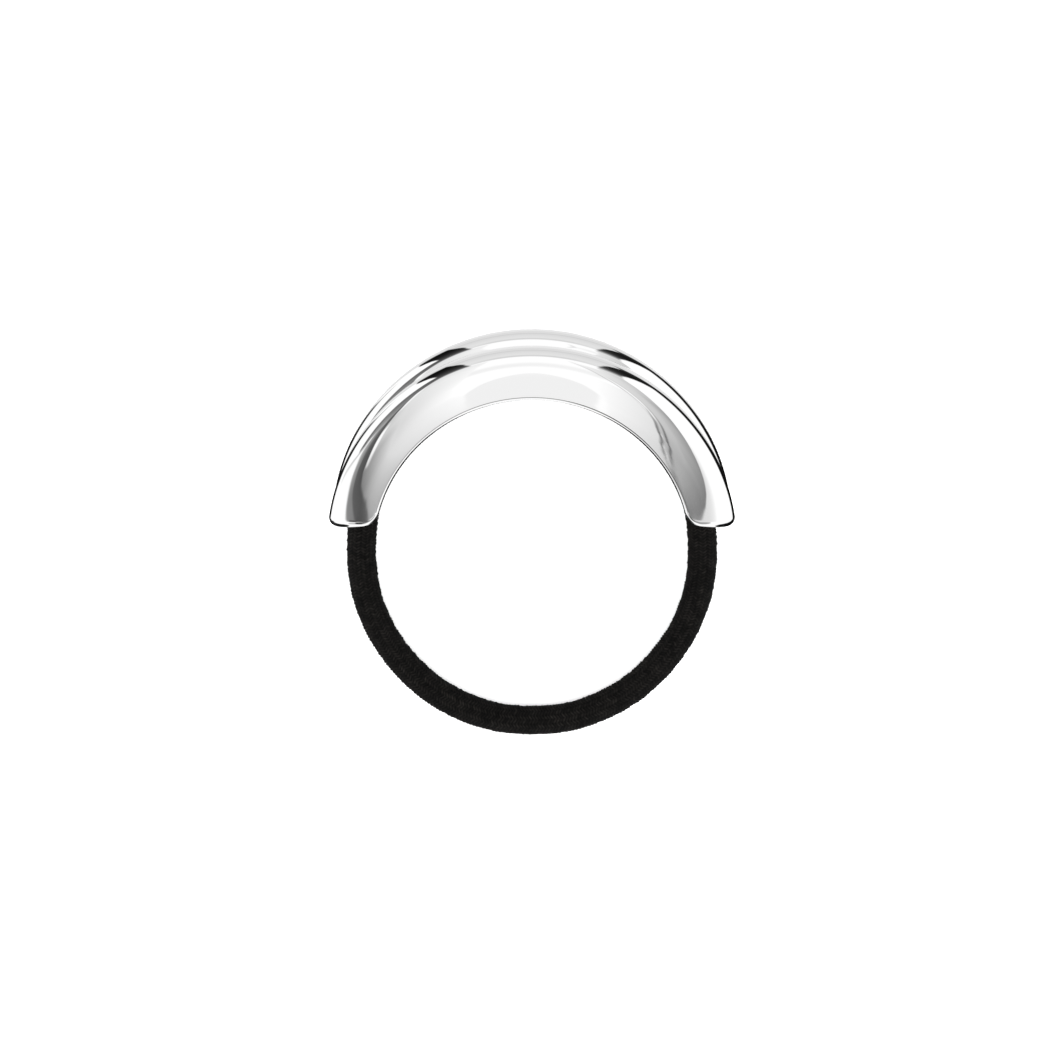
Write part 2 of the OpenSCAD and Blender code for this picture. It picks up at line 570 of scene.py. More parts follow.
@dataclass
class Cuff:
    """The metal half ring with its two cross pins: one soldered piece."""

    section: SectionSizes = field(default_factory=SectionSizes)
    ends: EndSizes = field(default_factory=EndSizes)
    pin_angle_deg: float = 40.0
    pin_d: float = 0.8
    pin_fillet: float = 0.09
    fillet_run: float = 1.3
    pin_rings: int = 41
    pin_sides: int = 24
    rows_between: int = 216
    bead_steps: int = 10
    outer_finish: PolishedPlate = field(default_factory=PolishedPlate)
    inner_finish: TumbledPlate = field(default_factory=TumbledPlate)

    def _middle_surface(self) -> tuple[np.ndarray, np.ndarray]:
        """Sweeps the wall's middle round the ring and curls it in at the ends.

        A point is its radius times the cosine and sine of its angle. Near an end the wall follows an arc of
        the curl's radius. Where it has turned by an angle, its distance from the end is the curl's radius
        times the sine of the whole curl less the sine of that angle, and it has sunk by the radius times
        one less the cosine. Its normal leans towards the end by the same angle. The curl grows from the lip
        to the flat, and from there to the crest.

        Returns:
            Points and outward normals, by ring row and then by section point, round the ring's middle.
        """
        section, ends = self.section, self.ends
        line, facing = section.middle()
        ring_r = line[:, 0]
        above_lip = ring_r - section.lip_ring_r
        full_run = section.crest_r - section.wall - section.lip_ring_r
        curl_deg = (
            ends.lip_curl
            + (ends.flank_curl - ends.lip_curl) * smooth_step(above_lip / ends.lip_run)
            + (ends.crest_curl - ends.flank_curl) * smooth_step(above_lip / full_run)
        )
        curl = np.radians(curl_deg)
        turned = curl[None, :] * np.linspace(1, 0, ends.rows + 1)[:, None]
        start = ends.start_angle(ring_r, section.lip_ring_r, section.wall / 2)
        near = start + ends.curl_r * (np.sin(curl) - np.sin(turned)) / ring_r
        part = np.linspace(0, 1, self.rows_between + 1)[1:-1, None]
        angle = np.concatenate([near, near[-1] + (math.pi - 2 * near[-1]) * part, math.pi - near[::-1]])
        flat = np.zeros((self.rows_between - 1, ring_r.size))
        lean = np.concatenate([turned, flat, -turned[::-1]])
        sunk = ends.curl_r * (1 - np.cos(lean))
        radius = ring_r - sunk * facing[:, 0]
        height = line[:, 1] - sunk * facing[:, 1]
        cos, sin = np.cos(angle), np.sin(angle)
        points = np.stack([radius * cos, radius * sin, height], -1)
        out, back = np.cos(lean) * facing[:, 0], np.sin(lean)
        normals = np.stack([out * cos + back * sin, out * sin - back * cos, np.cos(lean) * facing[:, 1]], -1)
        return points, normals

    def _shell(self) -> tuple[np.ndarray, np.ndarray, np.ndarray]:
        """Gives the wall its thickness and closes its edge with a round bead.

        The skins are the middle surface plus and minus half the wall along its normals. The bead is a half
        circle carried along the whole outline: half the wall times (the normal times the cosine of its
        angle, plus the direction out of the surface times the sine).

        Returns:
            Points, faces and each face's material slot.
        """
        middle, normal = self._middle_surface()
        rows, columns = middle.shape[:2]
        half = self.section.wall / 2
        number = np.arange(rows * columns).reshape(rows, columns)
        outline = np.concatenate([number[:-1, -1], number[-1, :0:-1], number[:0:-1, 0], number[0, :-1]])
        flat_middle, flat_normal = middle.reshape(-1, 3), normal.reshape(-1, 3)
        edge, facing = flat_middle[outline], flat_normal[outline]
        ahead = unit(np.roll(edge, -1, 0) - edge)
        out = unit(np.cross(facing, ahead + np.roll(ahead, 1, 0)))
        turn = np.linspace(0, math.pi, self.bead_steps + 1)[1:-1, None, None]
        bead = edge + half * (np.cos(turn) * facing + np.sin(turn) * out)
        skins = [flat_middle + half * flat_normal, flat_middle - half * flat_normal]
        points = np.concatenate([*skins, bead.reshape(-1, 3)])
        skin_size = rows * columns
        outer = grid_quads(rows, columns)[:, ::-1]
        inner = grid_quads(rows, columns) + skin_size
        bead_rings = 2 * skin_size + np.arange(bead.shape[0] * outline.size).reshape(-1, outline.size)
        rings = np.concatenate([outline[None], bead_rings, outline[None] + skin_size])
        after = np.roll(rings, -1, 1)
        strip = np.stack([rings[:-1], after[:-1], after[1:], rings[1:]], -1).reshape(-1, 4)
        slots = np.repeat([0, 1, 0], [len(outer), len(inner), len(strip)])
        return points, np.concatenate([outer, inner, strip]), slots

    def _pins(self, offset: int) -> tuple[np.ndarray, np.ndarray]:
        """Makes the two cross pins, each with a solder fillet where it meets a lip.

        A pin's radius is half its diameter, plus the fillet times the square of how near its end the ring is.
        The fillet stays narrower than the lip, so that it doesn't show past the lip's edge.

        Args:
            offset: The number of the first point.

        Returns:
            Points and faces.
        """
        reach = self.section.half_w - self.section.wall / 2
        rings, sides = self.pin_rings, self.pin_sides
        height = np.linspace(-reach, reach, rings)
        nearness = np.clip(1 - (reach - np.abs(height)) / self.fillet_run, 0, 1)
        radius = self.pin_d / 2 + self.pin_fillet * nearness**2
        around = full_turn(sides)
        # Each end is closed by strips from one side of its circle to the other
        here = np.arange(sides // 2 - 1)
        cap = np.stack([here, here + 1, sides - 2 - here, sides - 1 - here], 1)
        walls = grid_quads(rings, sides, ring=True)
        one_pin = np.concatenate([cap[:, ::-1], walls, cap + (rings - 1) * sides])
        points, faces = [], []
        for side in (-1, 1):
            angle = math.radians(90 + side * self.pin_angle_deg)
            x = self.section.lip_ring_r * math.cos(angle) + radius[:, None] * np.cos(around)
            y = self.section.lip_ring_r * math.sin(angle) + radius[:, None] * np.sin(around)
            z = np.broadcast_to(height[:, None], x.shape)
            faces.append(one_pin + offset + len(points) * x.size)
            points.append(np.stack([x, y, z], -1).reshape(-1, 3))
        return np.concatenate(points), np.concatenate(faces)

    def build(self) -> bpy.types.Object:
        """Builds the cuff and its pins as one piece in place of the CAD solid.

        Returns:
            The cuff.
        """
        shell, shell_quads, slots = self._shell()
        pins, pin_quads = self._pins(len(shell))
        points = np.concatenate([shell, pins]) + [0, AXIS_Y, MID_Z]
        quads = np.concatenate([shell_quads, pin_quads])
        slots = np.concatenate([slots, np.zeros(len(pin_quads), int)])
        finishes = [self.outer_finish.material(), self.inner_finish.material()]
        piece = make_piece("polished_cuff", points, quads, finishes, slots)
        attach(piece, "root")
        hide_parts("cuff")
        return piece


@dataclass
class ElasticLoop:
    """The loop of knitted elastic: squeezed in the crimp, led through the lower rib, and free in front."""

    cord_d: float = 4.0
    squeezed_d: float = 3.4
    squeeze_from_deg: float = 12.0
    squeeze_run_deg: float = 5.0
    # How far a full stitch stands over a gap, and the share of that at which the cord has its own radius
    relief: float = 0.26
    mean_crown: float = 0.42
    relief_run: float = 2.0
    zigzag_depth: float = 0.9
    groove: float = 0.45
    least_fullness: float = 0.4
    tip_crown: float = 0.5
    seed: int = 11
    # The knit starts this far from the ring's axis, on the metal side
    shown_from_y: float = 7.0
    rings_per_stitch: int = 4
    hidden_rings: int = 33
    columns: int = 80
    finish: KnittedPolyester = field(default_factory=KnittedPolyester)
    # Angle from +X, radius from the ring's axis and height over the floor, as in the CAD model
    channel_route: tuple[tuple[float, float, float], ...] = (
        (89, 23.7, 3.5), (77, 23.7, 3.5), (64, 23.9, 3.5), (50, 24.1, 3.5), (36, 24.0, 3.4), (23, 23.6, 3.3),
        (10, 23.0, 3.2),
    )
    # X and Y from the ring's axis and height over the floor, as in the CAD model
    free_route: tuple[tuple[float, float, float], ...] = (
        (23.4, -0.4, 2.9), (23.6, -5.6, 2.35), (22.9, -10.8, 2.05), (21.1, -15.6, 2.0), (18.3, -19.9, 2.0),
        (14.6, -23.7, 2.0), (10.2, -26.5, 2.0), (5.2, -28.3, 2.0), (0.0, -28.8, 2.0),
    )

    def centreline(self, steps: int = 40) -> np.ndarray:
        """Traces the cord's middle line as a smooth curve through the route's points.

        Between two points it is the Catmull-Rom cubic of them and their neighbours: half of (twice the start,
        plus the end less the point before times the part of the way, plus the square and the cube terms).

        Args:
            steps: Points per stretch of the route.

        Returns:
            Points in millimetres, in the row frame.
        """
        angle, ring_r, height = np.array(self.channel_route, float).T
        angle = np.radians(angle)
        channel = np.stack([ring_r * np.cos(angle), ring_r * np.sin(angle), height], 1)
        half = np.concatenate([channel, np.array(self.free_route)])
        route = np.concatenate([half, half[-2::-1] * [-1, 1, 1]]) + [0, AXIS_Y, 0]
        padded = np.concatenate([route[:1], route, route[-1:]])
        before, start, end, beyond = (padded[i : len(padded) - 3 + i, None, :] for i in range(4))
        part = np.linspace(0, 1, steps, endpoint=False)[None, :, None]
        square = 2 * before - 5 * start + 4 * end - beyond
        cube = 3 * start - before - 3 * end + beyond
        curve = 0.5 * (2 * start + (end - before) * part + square * part**2 + cube * part**3)
        return np.concatenate([curve.reshape(-1, 3), route[-1:]])

    def _rings(self, line: np.ndarray, along: np.ndarray) -> tuple[np.ndarray, np.ndarray]:
        """Chooses where the tube's rings stand: close together where the cord shows, further apart inside.

        Args:
            line: The fine middle line.
            along: The distance along it of each of its points.

        Returns:
            Distance along the line of each ring, and how much of the knit's relief the ring takes.
        """
        total = along[-1]
        shown = along[(line[:, 1] - AXIS_Y < self.shown_from_y) & (line[:, 0] > 0)][0]
        stitches = round((total - 2 * shown) / self.finish.stitch_mm)
        fine = np.linspace(shown, total - shown, self.rings_per_stitch * stitches + 1)
        hidden = np.linspace(0, shown, self.hidden_rings, endpoint=False)
        places = np.concatenate([hidden, fine, total - hidden[::-1]])
        nearest_end = np.minimum(places - shown, total - shown - places)
        return places, smooth_step(nearest_end / self.relief_run)

    def _crowns(self, places: np.ndarray, around: np.ndarray) -> np.ndarray:
        """Works out how high the knit stands at each point, from 0 in a gap to 1 on a full stitch.

        The V stitches are the size of a cosine along the cord, whose phase goes to and fro round it. Each
        stitch has its own fullness, and the yarn dips at the grooves between the columns of stitches.

        Args:
            places: Distance along the cord of each ring.
            around: Angles round the cord, in radians.

        Returns:
            Shares of the relief, by ring and then by angle.
        """
        zigzag = np.abs((around / (2 * math.pi) * self.finish.zigzags_round) % 1 - 0.5) * 2
        phase = places[:, None] / self.finish.stitch_mm + self.zigzag_depth * zigzag
        course = np.floor(phase + 0.5).astype(int)
        leg = (around / math.pi * self.finish.zigzags_round).astype(int)
        draw = np.random.default_rng(self.seed)
        fullness = draw.uniform(self.least_fullness, 1, (course.max() + 1, leg.max() + 1))
        wale = 1 - self.groove + self.groove * np.sin(math.pi * zigzag) ** 2
        return np.abs(np.cos(math.pi * phase)) * fullness[course, leg] * wale

    def _faces(self, places: np.ndarray, around: np.ndarray) -> tuple[np.ndarray, np.ndarray]:
        """Joins the rings into a tube, closes its ends with fans of triangles, and unrolls it in millimetres.

        Args:
            places: Distance along the cord of each ring.
            around: Angles round the cord, in radians.

        Returns:
            Faces, and for each face corner its distance along the cord and round it.
        """
        rows, columns = len(places), self.columns
        here = np.arange(columns)
        after = (here + 1) % columns
        last, tip = (rows - 1) * columns, np.full(columns, rows * columns)
        walls = grid_quads(rows, columns, ring=True)[:, ::-1]
        start = np.stack([tip, here, after, after], 1)
        end = np.stack([tip + 1, last + after, last + here, last + here], 1)
        faces = np.concatenate([walls, start, end])
        length = np.append(np.repeat(places, columns), [places[0], places[-1]])
        turn = np.append(np.tile(around * self.cord_d / 2, rows), [0, 0])
        corner_uv = np.stack([length, turn], 1)[faces]
        # The seam's faces wrap round, so their far corners take the full girth
        girth, turned = math.pi * self.cord_d, corner_uv[..., 1]
        wrapped = (turned.max(1) - turned.min(1)) > girth / 2
        turned += np.where(wrapped[:, None] & (turned < girth / 4), girth, 0)
        sizes = np.where(faces[:, 2] == faces[:, 3], 3, 4)
        return faces, corner_uv[np.arange(4)[None, :] < sizes[:, None]]

    def build(self) -> bpy.types.Object:
        """A ring's point is the middle line plus the radius there times the cosine of its angle along the ring's
        side and the sine along its top. Nothing goes below the floor that the cord lies on.

        Returns:
            The elastic.
        """
        line = self.centreline()
        along = np.concatenate([[0], np.cumsum(np.linalg.norm(np.diff(line, axis=0), axis=1))])
        places, relief = self._rings(line, along)
        middle = np.stack([np.interp(places, along, axis) for axis in line.T], 1)
        slope = unit(np.stack([np.interp(places, along, np.gradient(axis, along)) for axis in line.T], 1))
        side = unit(np.cross(slope, [0, 0, 1]))
        up = np.cross(side, slope)
        off_top = np.degrees(np.abs(np.arctan2(middle[:, 0], middle[:, 1] - AXIS_Y)))
        full = smooth_step((off_top - self.squeeze_from_deg) / self.squeeze_run_deg)
        radius = (self.squeezed_d + (self.cord_d - self.squeezed_d) * full) / 2
        around = full_turn(self.columns)
        crown = self._crowns(places, around)
        shell = radius[:, None] + self.relief * relief[:, None] * (crown - self.mean_crown)
        points = (
            middle[:, None, :]
            + (shell * np.cos(around))[..., None] * side[:, None, :]
            + (shell * np.sin(around))[..., None] * up[:, None, :]
        )
        points[..., 2] = np.maximum(points[..., 2], 0)
        faces, corner_uv = self._faces(places, around)
        tips = middle[[0, -1]]
        points = np.concatenate([points.reshape(-1, 3), tips])
        piece = make_piece("knitted_elastic", points, faces, [self.finish.material()], corner_uv=corner_uv)
        # The stitch heights also steer the painted shade in the gaps of the yarn's material
        stitch = piece.data.attributes.new("stitch", "FLOAT", "POINT")
        stitch.data.foreach_set("value", np.append(crown.ravel(), [self.tip_crown] * 2).astype(np.float32))
        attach(piece, "root")
        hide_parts("elastic")
        LOG.info("elastic is %.1f mm long", along[-1])
        return piece


@dataclass
class CrimpSleeve:
    """The steel sleeve that holds the elastic's two ends together in the cuff's hollow."""

    ring_r: float = 23.7
    height: float = 3.5
    outer_d: float = 4.3
    bore: float = 3.7
    span_deg: float = 22.0
    dent: float = 0.22
    dent_place: float = 2.4
    dent_length: float = 0.7
    dent_narrowness: float = 4.0
    # Shares of the dents and of the rims' rounding that the bore takes
    bore_dent: float = 0.6
    bore_rim: float = 0.5
    rim_depth: float = 0.12
    rim_run: float = 0.15
    rings: int = 61
    sides: int = 48
    finish: PressedSteel = field(default_factory=PressedSteel)

    def build(self) -> bpy.types.Object:
        """Builds the bent sleeve with its rolled rims and four pressed dents, in place of the CAD solid.

        The wall is a ring of points round the cord's line. Each dent takes from the radius a bell of the
        distance along the sleeve and of the angle round it.

        Returns:
            The sleeve.
        """
        rings, sides = self.rings, self.sides
        span = math.radians(self.span_deg)
        turn = np.linspace(-span / 2, span / 2, rings)
        around = full_turn(sides)
        along = turn * self.ring_r
        edge = self.ring_r * span / 2 - np.abs(along)
        rim = self.rim_depth * (1 - np.sqrt(1 - np.clip(1 - edge / self.rim_run, 0, 1) ** 2))[:, None]
        dents = sum(
            np.exp(-(((along - place) / self.dent_length) ** 2))[:, None]
            * np.exp(-((np.sin((around - angle) / 2) * self.dent_narrowness) ** 2))
            for place in (-self.dent_place, self.dent_place)
            for angle in (math.pi / 2, 3 * math.pi / 2)
        )
        outer = self.outer_d / 2 - rim - self.dent * dents
        inner = self.bore / 2 + self.bore_rim * rim - self.bore_dent * self.dent * dents
        shell = np.concatenate([outer, inner[::-1]])
        angle = np.concatenate([turn, turn[::-1]]) + math.pi / 2
        ring = self.ring_r + shell * np.cos(around)
        x, y = ring * np.cos(angle)[:, None], ring * np.sin(angle)[:, None] + AXIS_Y
        z = self.height + shell * np.sin(around)
        points = np.stack([x, y, z], -1).reshape(-1, 3)
        here = np.arange(sides)
        after = (here + 1) % sides
        last = (2 * rings - 1) * sides
        close = np.stack([last + here, last + after, after, here], 1)
        faces = np.concatenate([grid_quads(2 * rings, sides, ring=True), close])[:, ::-1]
        piece = make_piece("crimp_sleeve", points, faces, [self.finish.material()])
        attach(piece, "root")
        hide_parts("crimp")
        return piece


class Run(Enum):
    """Which way a painted stretch of the light tent runs."""

    DOWN = 0
    ROUND = 1


@dataclass(frozen=True)
class TentPatch:
    """One soft-edged stretch of grey or black cloth in the light tent.

    Each row is a place along the run, the cloth's two edges across it, and its grey from 0 to 255 at each
    edge, or once for both. For DOWN the place is the angle from the tent's front pole and the edges are
    angles round it. For ROUND it is the reverse. Angles are in degrees. The edges are eased over the soft
    widths, and the ends over theirs.
    """

    name: str
    run: Run
    rows: tuple[tuple[float, ...], ...]
    soft: tuple[float, float] = (2.0, 2.0)
    ends: tuple[float, float] = (3.0, 3.0)


# Steps of the tent's grid, as from, to and step in degrees, finest where the cuff mirrors thin lines
AROUND_STEPS = ((-90, -20, 2.0), (-20, -4, 1.0), (-4, 180, 0.5), (180, 216, 1.0), (216, 270.1, 2.0))
DOWN_STEPS = ((0, 6, 0.25), (6, 12, 0.5), (12, 154, 1.0), (154, 180.1, 2.0))

# The cloths, in the order in which they are hung. Left and right are the picture's.
TENT = (
    TentPatch("back wall", Run.DOWN, (
        (109, 58, 122, 222, 226), (120, 60, 120, 226), (130, 55, 125, 222), (140, 48, 132, 216),
        (148, 36, 142, 216, 218), (152, -10, 190, 222), (158, -90, 270, 226), (180, -90, 270, 232),
    ), (3, 3), (3, 0.1)),
    TentPatch("back wall's hem", Run.DOWN, ((110, 70, 110, 212), (116, 70, 110, 210)), (16, 16)),
    TentPatch("back fold", Run.DOWN, ((142, 50, 130, 205), (146, 46, 134, 208)), (10, 10), (2, 2)),
    TentPatch("low back fold", Run.DOWN, (
        (155, 20, 160, 214), (160, 20, 160, 216),
    ), (20, 20), (2, 3)),
    TentPatch("top cloth", Run.DOWN, (
        (66, 66, 114, 250), (70, 62, 118, 244, 242), (74, 60, 122, 242, 240), (82, 62, 122, 246, 242),
    ), (8, 8), (4, 10)),
    TentPatch("left wall", Run.DOWN, (
        (0, 108, 152, 255, 216), (5, 110, 152, 255, 216), (22, 117, 148, 255, 205),
        (45, 117, 144, 252, 203), (70, 112, 142, 248, 214), (90, 110, 140, 245, 222),
        (106, 106, 126, 240, 222),
    ), (2, 0.5), (0.1, 4)),
    TentPatch("left wall's fall", Run.DOWN, (
        (0, 146, 180, 222, 155), (3, 146, 176, 222, 160), (6, 146, 168, 222, 162), (8, 146, 166, 220, 150),
        (12, 145, 166, 216, 132), (22, 142, 166, 221, 112), (34, 140, 165, 221, 112),
        (45, 138, 162, 219, 120), (62, 136, 155, 222, 190), (74, 136, 150, 222, 190),
        (84, 135, 146, 224, 190),
    ), (5, 2), (0.1, 6)),
    TentPatch("left gleam", Run.DOWN, (
        (44, 154.5, 156.5, 185), (50, 152.5, 157, 205, 225), (55, 150.5, 155.5, 240, 245),
        (60, 148.5, 153.6, 250), (66, 146.5, 151.8, 255), (74, 143.5, 148.5, 250),
    ), (2.5, 2), (8, 5)),
    TentPatch("left grey cloth", Run.DOWN, (
        (6, 173, 180, 100, 150), (10, 169.5, 178, 100, 140), (16, 168, 178.5, 105, 130),
        (30, 167.5, 178.5, 125, 130), (44, 166, 178, 130, 135), (56, 164, 175.8, 122, 140),
        (62, 162.5, 174, 122, 145), (68, 160, 171.6, 122, 150), (74, 157, 169.6, 122, 160),
        (80, 155, 167.6, 122, 165), (86, 150, 164, 130, 175), (92, 147, 162, 140, 190),
    ), (2, 5), (2, 5)),
    TentPatch("left dark band", Run.DOWN, (
        (3.4, 174, 190, 125, 90), (4.4, 171, 186, 112, 80), (5.4, 168, 180, 102, 75),
        (7.7, 164.5, 176, 92, 78), (11, 163.4, 173.5, 86, 82), (20, 162.2, 171.8, 82, 92),
        (36, 161.4, 170, 82, 95), (50, 158.8, 168.3, 80, 95), (58, 155, 166.8, 80, 95),
        (70, 150.5, 162.5, 78, 95), (76, 147.5, 159, 78, 105), (82, 143.5, 155, 80, 115),
        (88, 140, 149, 85, 120), (94, 137, 143, 95, 130), (100, 132.5, 140, 100, 130),
    ), (2, 2.5), (2, 4)),
    TentPatch("left end's line", Run.DOWN, (
        (8, 172, 174, 60), (24, 173, 175, 55), (40, 175, 177, 60),
    ), (2, 1.5)),
    TentPatch("left sill", Run.ROUND, (
        (120, 110, 116, 90, 80), (126, 106, 117, 90, 75), (131, 102, 117, 105, 85),
        (137, 97, 114.5, 130, 95), (144, 90, 112.5, 150, 100), (150, 90, 110.5, 170, 105),
        (156, 95, 109, 160, 95), (161, 98, 107, 120, 90), (165, 101, 106, 150, 120),
    ), (4, 2.5), (4, 1.5)),
    TentPatch("lower left gleam", Run.DOWN, (
        (84, 138.5, 140.5, 245), (92, 134.5, 138, 250), (100, 130, 134, 250),
    ), (2.5, 1.5), (5, 4)),
    TentPatch("left seam", Run.DOWN, (
        (94, 157, 160, 190), (104, 166, 169, 200), (112, 172, 176, 215), (122, 181, 186, 225),
    ), (2, 4)),
    TentPatch("left bar", Run.DOWN, (
        (106, 113, 128, 165, 130), (111, 114.5, 127, 90, 80), (117, 116.5, 128.5, 50, 60),
        (123, 118, 131, 40, 45), (129, 120.5, 134.5, 30, 25), (135, 124, 140, 20),
        (141, 128.5, 146.5, 12, 15), (146, 132.5, 151, 15, 40), (151, 138, 156, 60, 150),
    ), (1.5, 1.5), (5, 6)),
    TentPatch("left corner shadow", Run.ROUND, (
        (160, 138, 141, 200), (172, 139, 143, 150), (182, 139.5, 147, 70), (190, 138, 150, 25),
        (200, 135, 151.5, 18), (207, 130, 152.5, 18), (212, 90, 152.5, 18), (216, 64, 152.5, 18),
        (224, 57, 153, 18), (236, 58, 154, 22), (246, 70, 156, 40), (254, 92, 156, 75),
        (262, 114, 156, 140), (270, 134, 152, 205),
    ), (6, 3), (6, 6)),
    TentPatch("right gradient", Run.DOWN, (
        (1, -40, -6, 222, 214), (2.2, -22, 3, 220, 214), (4, -8, 6.5, 220, 214), (7.7, -2, 11.5, 222, 216),
        (11, 0, 13.5, 224, 218), (22, 1, 15, 226, 219), (33, 1, 16.5, 237, 219), (44, 2, 18.5, 249, 217),
        (52, 5, 22, 254, 218), (58, 8, 26, 255, 222), (68, 20, 33, 255, 240),
    ), (3, 2), (0.1, 8)),
    TentPatch("right wall", Run.DOWN, (
        (1, -50, 2, 108, 135), (2.2, -6, 18, 112, 160), (2.9, 2.2, 23, 116, 170), (4, 5.2, 27, 118, 178),
        (5.9, 7.4, 29, 120, 176), (8.9, 11, 30, 120, 172), (12, 12.2, 31, 120, 174),
        (22, 13.4, 33, 124, 184), (30, 14.6, 37, 126, 188), (36, 15.4, 38, 128, 192),
        (42, 16.8, 39, 133, 195), (48, 18.8, 41, 136, 194), (54, 22, 43, 138, 197),
        (60, 25.8, 45, 146, 201), (66, 29.6, 47, 148, 205), (72, 34, 50, 148, 207), (78, 38, 53, 150, 209),
        (84, 43, 57, 185, 219), (90, 47.5, 61, 192, 223), (97, 53, 65, 200, 227), (103, 57, 66, 214, 230),
    ), (1, 1), (0.1, 4)),
    TentPatch("right wall's far part", Run.DOWN, (
        (1, -6, 10, 140, 160), (2.2, 9, 17.5, 155, 165), (2.9, 16, 24.5, 165, 172), (4, 22, 31.5, 172, 180),
        (5.5, 26, 36, 174, 184), (8, 27.5, 40, 168, 188), (20, 30, 44, 178, 188), (40, 36, 50, 190, 212),
        (60, 43, 58, 200, 222), (78, 51, 65, 208, 232), (97, 63, 74, 226, 240),
    ), (3, 2), (0.1, 6)),
    TentPatch("right light cloth", Run.DOWN, (
        (1, -10, 50, 190, 245), (1.9, 4, 56, 196, 247), (2.2, 13, 57, 200, 247), (2.5, 21.5, 58, 203, 247),
        (2.9, 26, 59, 206, 248), (3.9, 32, 61, 211, 249), (5.3, 36.4, 62, 217, 250),
        (7.6, 40.5, 64, 221, 250), (14, 43.5, 66, 222, 252), (28, 46, 68, 226, 254), (44, 51, 68, 232, 255),
        (60, 57, 68, 240, 255),
    ), (1.5, 2), (0.1, 3)),
    TentPatch("right gleam", Run.DOWN, (
        (38, 45, 48, 225, 235), (46, 47, 50.5, 250, 255), (56, 51, 55, 255), (66, 55.5, 59.5, 250),
        (76, 61, 64, 235, 240),
    ), (1.5, 1.5), (6, 8)),
    TentPatch("right seam", Run.DOWN, (
        (1.6, 0, 3, 130), (2.05, 8, 10.6, 118), (2.2, 13, 15.6, 112), (2.4, 18.4, 20.4, 105),
        (3.1, 24.2, 26, 100), (3.6, 27, 28.6, 108), (4.2, 28.6, 30.2, 95), (4.9, 30.4, 31.9, 108),
        (6.2, 33.2, 34.7, 100), (8.3, 35.2, 36.7, 108), (11.3, 37.8, 39.4, 108), (18.6, 39.5, 41.1, 115),
        (30, 41.2, 42.8, 132), (38, 42.6, 44.2, 150), (46, 44.8, 46.4, 180), (56, 48.6, 50.2, 200),
        (68, 55, 57, 208), (80, 62, 64, 215),
    ), (1.3, 1.3), (0.1, 6)),
    TentPatch("right second seam", Run.DOWN, (
        (1.9, 12, 15, 150), (2.3, 20, 22, 125), (2.8, 26.8, 28.6, 112), (3.3, 29.6, 31.2, 120),
        (3.9, 32.6, 34.2, 105), (4.6, 34.2, 35.8, 118), (5.8, 37.4, 39, 108), (8.6, 40, 41.6, 115),
        (12, 42, 43.7, 118), (20, 43.8, 45.4, 128), (33.5, 45.2, 46.8, 150), (40, 46.8, 48.3, 175),
        (48, 48.6, 50.2, 200), (60, 55, 57, 208), (74, 63.5, 65.5, 205), (86, 68.5, 70.5, 215),
        (100, 75, 77, 230),
    ), (1.3, 1.3), (0.1, 8)),
    TentPatch("front reflector", Run.DOWN, (
        (0.4, 50, 130, 240), (1.5, 58, 122, 240), (3, 64, 116.5, 240), (6, 66, 114, 240),
        (10, 67, 113, 240), (26, 73, 107, 240), (33, 78, 102, 241), (39, 84, 96, 243), (42, 88, 92, 244),
    ), (2, 2), (0.1, 2)),
    TentPatch("right bar", Run.DOWN, (
        (102, 55, 66, 222, 226), (107, 55.5, 64.8, 165, 175), (112, 54.3, 64, 80, 100),
        (118, 51.3, 62, 40, 60), (124, 47, 60, 25, 40), (130, 41.5, 57, 20, 30), (136, 34, 52.5, 18, 25),
        (142, 26, 46.5, 18, 35), (148, 20, 39, 40, 90),
    ), (1.5, 1.5), (5, 6)),
    TentPatch("right corner shadow", Run.ROUND, (
        (-90, 134, 152, 205), (-82, 114, 156, 130), (-74, 92, 156, 60), (-66, 72, 156, 35),
        (-56, 62, 154, 20), (-44, 61, 153, 18), (-36, 66, 152.5, 15), (-30, 82, 152.5, 12),
        (-26, 112, 152.5, 12), (-20, 131, 151.5, 12), (5, 134, 151.5, 12, 14), (20, 136, 151, 14, 25),
        (34, 138, 149.5, 20, 40), (46, 141, 148.5, 50, 70),
    ), (6, 3), (6, 6)),
    TentPatch("near edge of the table", Run.ROUND, (
        (190, 6, 36, 215, 205), (215, 5, 46, 205, 195), (235, 3, 34, 190, 185), (255, 2, 28, 150, 165),
        (270, 1.5, 26, 140, 155), (300, 2, 26, 150, 165), (330, 2, 26, 155, 175), (344, 2, 24, 130, 170),
        (354, 2, 24, 100, 150),
    ), (2, 8), (8, 8)),
    TentPatch("low left cloth", Run.DOWN, (
        (104, 206, 250, 70, 60), (112, 206, 250, 50, 40), (124, 214, 250, 40),
    ), (8, 8), (8, 6)),
    TentPatch("cloth under the left end", Run.ROUND, (
        (192, 3, 16, 80), (212, 2.4, 20, 55), (232, 2, 25, 60), (246, 1.8, 28, 75, 85),
        (258, 1.6, 28, 100, 130),
    ), (1.5, 8), (6, 6)),
    TentPatch("right seam's foot", Run.ROUND, (
        (4, 2.6, 3.4, 120), (8, 1.95, 2.45, 105), (12.6, 1.85, 2.3, 105), (18.6, 2, 2.45, 105),
        (25, 2.85, 3.3, 110),
    ), (0.3, 0.3), (4, 3)),
)


